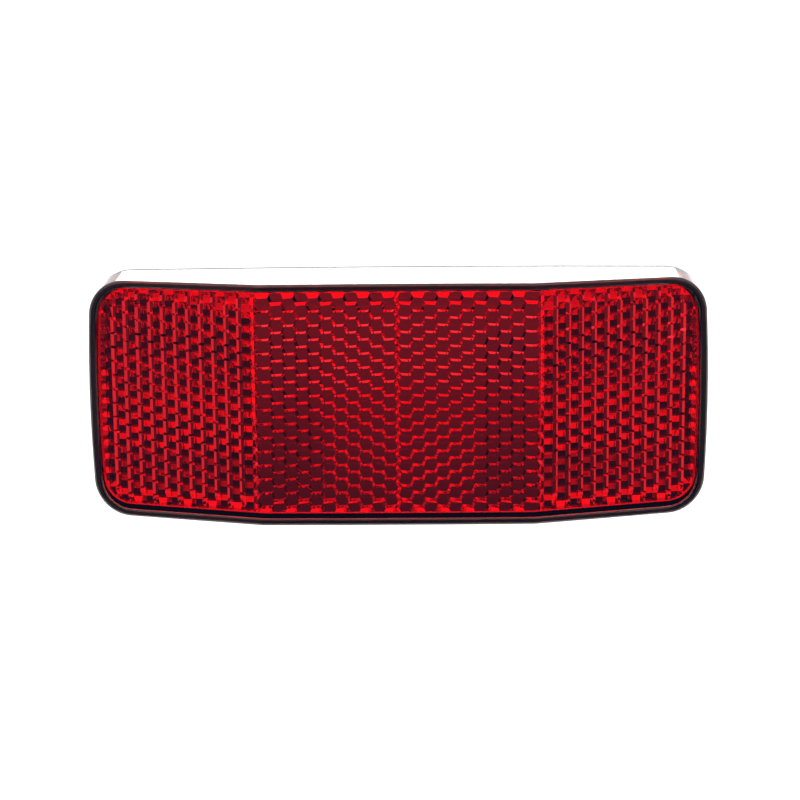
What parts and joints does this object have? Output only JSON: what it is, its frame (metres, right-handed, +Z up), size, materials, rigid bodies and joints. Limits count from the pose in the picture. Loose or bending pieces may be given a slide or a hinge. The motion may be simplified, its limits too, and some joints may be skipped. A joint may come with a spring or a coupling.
{
  "type": "bicycle rack reflector",
  "caption": "Wide red bicycle rack reflector: faceted lens cap with moulded prisms inside a proud rim, closed by a black back plate that holds captive mounting bolts.",
  "frame": {"origin": "midway between the bolts, in the plane of the pads that seat on the rack's plate", "axes": "+X across the reflector to the right as seen from its front, +Y back towards the rack along the bolts, +Z up"},
  "size_m": [0.1, 0.0325, 0.0392],
  "materials": {
    "red_lens": "gloss",
    "black_plastic": "fine texture",
    "plated_steel": "zinc plated"
  },
  "bodies": {
    "root": {"lens_cap": "red_lens", "back_plate": "black_plastic", "mounting_bolts": "plated_steel"}
  },
  "joints": []
}
